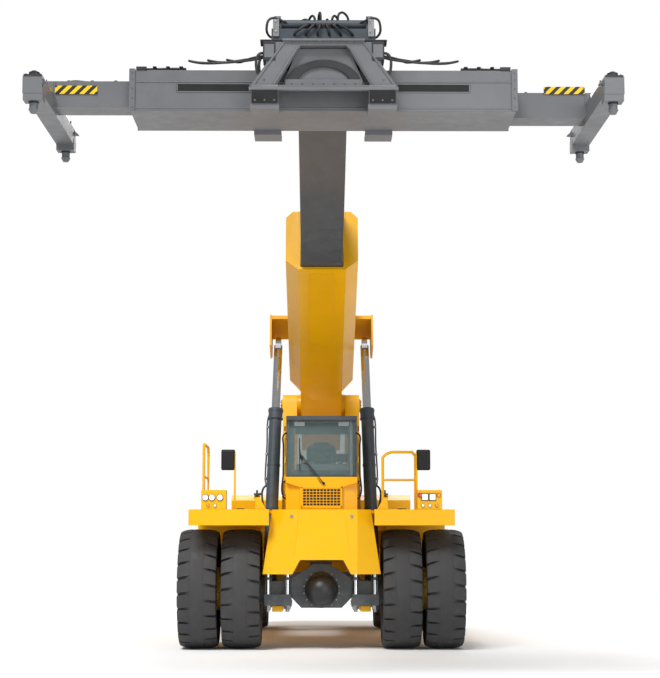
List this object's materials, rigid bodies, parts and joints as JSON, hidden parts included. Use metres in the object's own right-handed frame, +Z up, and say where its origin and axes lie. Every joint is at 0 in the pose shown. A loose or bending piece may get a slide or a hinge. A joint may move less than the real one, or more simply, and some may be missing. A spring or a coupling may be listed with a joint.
{
  "type": "reach stacker",
  "caption": "Yellow container reach stacker with twin front tyres, a central cab, a telescopic boom on lift cylinders and a grey spreader held high at its shorter setting",
  "frame": {"origin": "on the ground under the middle of the overall length and width, with the boom as stored", "axes": "+Z up, the front of the machine faces -Y, +X is the right side seen from the front"},
  "size_m": [6.06, 16.56, 7.7844],
  "materials": {
    "yellow_paint": "gloss machine yellow",
    "slate_paint": "satin blue-grey",
    "spreader_paint": "satin grey",
    "chrome": "polished rod",
    "tyre_rubber": "dull rubber",
    "black_plastic": "fine grain",
    "cab_glass": "clear with a grey-green tint",
    "seat_fabric": "woven cover"
  },
  "bodies": {
    "chassis": {"front_body": "yellow_paint", "main_frame": "yellow_paint", "front_axle": "slate_paint", "rear_axle": "slate_paint", "counterweight": "yellow_paint", "engine_block": "slate_paint", "engine_hood": "yellow_paint", "boom_towers": "yellow_paint", "rail_left": "yellow_paint", "rail_right": "yellow_paint", "fender_left": "yellow_paint", "fender_right": "yellow_paint", "side_tank_left": "yellow_paint", "side_tank_right": "yellow_paint", "lamp_box_left": "yellow_paint", "lamp_box_right": "yellow_paint", "mirror_left": "black_plastic", "mirror_right": "black_plastic", "cab_base": "yellow_paint", "cab_frame": "yellow_paint", "windscreen": "cab_glass", "cab_pillars": "black_plastic", "rear_window": "cab_glass", "operator_seat": "seat_fabric", "steering_column": "black_plastic"},
    "outer_boom": {"outer_boom": "yellow_paint"},
    "inner_boom": {"inner_boom": "slate_paint", "boom_head": "slate_paint"},
    "tilt_yoke": {"tilt_yoke": "slate_paint"},
    "rotator": {"rotator_frame": "spreader_paint"},
    "main_beam": {"spreader_main_beam": "spreader_paint"},
    "front_wheels_left": {"front_rim_left": "yellow_paint", "front_tyre_outer_left": "tyre_rubber", "front_tyre_inner_left": "tyre_rubber"},
    "knuckle_left": {"steering_knuckle_left": "slate_paint"},
    "rear_wheel_left": {"rear_rim_left": "yellow_paint", "rear_tyre_left": "tyre_rubber"},
    "door_left": {"cab_door_left": "yellow_paint", "door_glass_left": "cab_glass"},
    "lift_barrel_left": {"lift_barrel_left": "slate_paint"},
    "lift_rod_left": {"lift_rod_left": "chrome"},
    "spreader_left": {"spreader_beam_left": "spreader_paint"},
    "front_wheels_right": {"front_rim_right": "yellow_paint", "front_tyre_outer_right": "tyre_rubber", "front_tyre_inner_right": "tyre_rubber"},
    "knuckle_right": {"steering_knuckle_right": "slate_paint"},
    "rear_wheel_right": {"rear_rim_right": "yellow_paint", "rear_tyre_right": "tyre_rubber"},
    "door_right": {"cab_door_right": "yellow_paint", "door_glass_right": "cab_glass"},
    "lift_barrel_right": {"lift_barrel_right": "slate_paint"},
    "lift_rod_right": {"lift_rod_right": "chrome"},
    "spreader_right": {"spreader_beam_right": "spreader_paint"}
  },
  "joints": [
    {"name": "boom_lift", "type": "hinge", "parent": "chassis", "child": "outer_boom", "pos_m": [0, 5.28, 3.95], "axis": [-1, 0, 0], "range_deg": [-18, 42]},
    {"name": "boom_retract", "type": "slide", "parent": "outer_boom", "child": "inner_boom", "axis": [0, 0.9511, -0.309], "range_m": [-1, 4.5]},
    {"name": "head_level", "type": "hinge", "parent": "inner_boom", "child": "tilt_yoke", "pos_m": [0, -6.121, 6.9499], "axis": [-1, 0, 0], "range_deg": [-42.5, 18.5]},
    {"name": "spreader_turn", "type": "hinge", "parent": "tilt_yoke", "child": "rotator", "pos_m": [0, -7.06, 6.8], "axis": [0, 0, 1], "range_deg": [-105, 195]},
    {"name": "side_shift", "type": "slide", "parent": "rotator", "child": "main_beam", "axis": [1, 0, 0], "range_m": [-0.8, 0.8]},
    {"name": "spreader_extend", "type": "slide", "parent": "main_beam", "child": "spreader_left", "axis": [-1, 0, 0], "range_m": [0, 3.05]},
    {"name": "spreader_extend_right", "type": "slide", "parent": "main_beam", "child": "spreader_right", "axis": [1, 0, 0], "range_m": [0, 3.05]},
    {"name": "steer", "type": "hinge", "parent": "chassis", "child": "knuckle_left", "pos_m": [-0.88, 6.78, 0.875], "axis": [0, 0, 1], "range_deg": [-45, 45]},
    {"name": "steer_right", "type": "hinge", "parent": "chassis", "child": "knuckle_right", "pos_m": [0.88, 6.78, 0.875], "axis": [0, 0, 1], "range_deg": [-45, 45]},
    {"name": "front_roll_left", "type": "hinge", "parent": "chassis", "child": "front_wheels_left", "pos_m": [-1.4925, 0.78, 0.875], "axis": [1, 0, 0], "continuous": true},
    {"name": "rear_roll_left", "type": "hinge", "parent": "knuckle_left", "child": "rear_wheel_left", "pos_m": [-1.245, 6.78, 0.875], "axis": [1, 0, 0], "continuous": true},
    {"name": "door_swing_left", "type": "hinge", "parent": "chassis", "child": "door_left", "pos_m": [-0.5473, 1.06, 2.75], "axis": [0, 0, 1], "range_deg": [0, 85]},
    {"name": "lift_swing_left", "type": "hinge", "parent": "chassis", "child": "lift_barrel_left", "pos_m": [-0.82, 1.98, 0.85], "axis": [-1, 0, 0], "range_deg": [-2.9, 6.8]},
    {"name": "lift_stroke_left", "type": "slide", "parent": "lift_barrel_left", "child": "lift_rod_left", "axis": [0.0301, 0.2072, 0.9778], "range_m": [-0.785, 1.825]},
    {"name": "front_roll_right", "type": "hinge", "parent": "chassis", "child": "front_wheels_right", "pos_m": [1.4925, 0.78, 0.875], "axis": [1, 0, 0], "continuous": true},
    {"name": "rear_roll_right", "type": "hinge", "parent": "knuckle_right", "child": "rear_wheel_right", "pos_m": [1.245, 6.78, 0.875], "axis": [1, 0, 0], "continuous": true},
    {"name": "door_swing_right", "type": "hinge", "parent": "chassis", "child": "door_right", "pos_m": [0.5473, 1.06, 2.75], "axis": [0, 0, -1], "range_deg": [0, 85]},
    {"name": "lift_swing_right", "type": "hinge", "parent": "chassis", "child": "lift_barrel_right", "pos_m": [0.82, 1.98, 0.85], "axis": [-1, 0, 0], "range_deg": [-2.9, 6.8]},
    {"name": "lift_stroke_right", "type": "slide", "parent": "lift_barrel_right", "child": "lift_rod_right", "axis": [-0.0301, 0.2072, 0.9778], "range_m": [-0.785, 1.825]}
  ],
  "couplings": [
    {"joint": "head_level", "follows": "boom_lift", "ratio": -1},
    {"joint": "spreader_extend_right", "follows": "spreader_extend", "ratio": 1},
    {"joint": "steer_right", "follows": "steer", "ratio": 1},
    {"joint": "lift_swing_left", "follows": "boom_lift", "ratio": 0.16},
    {"joint": "lift_stroke_left", "follows": "boom_lift", "m_per_rad": 2.48},
    {"joint": "lift_swing_right", "follows": "boom_lift", "ratio": 0.16},
    {"joint": "lift_stroke_right", "follows": "boom_lift", "m_per_rad": 2.48}
  ]
}
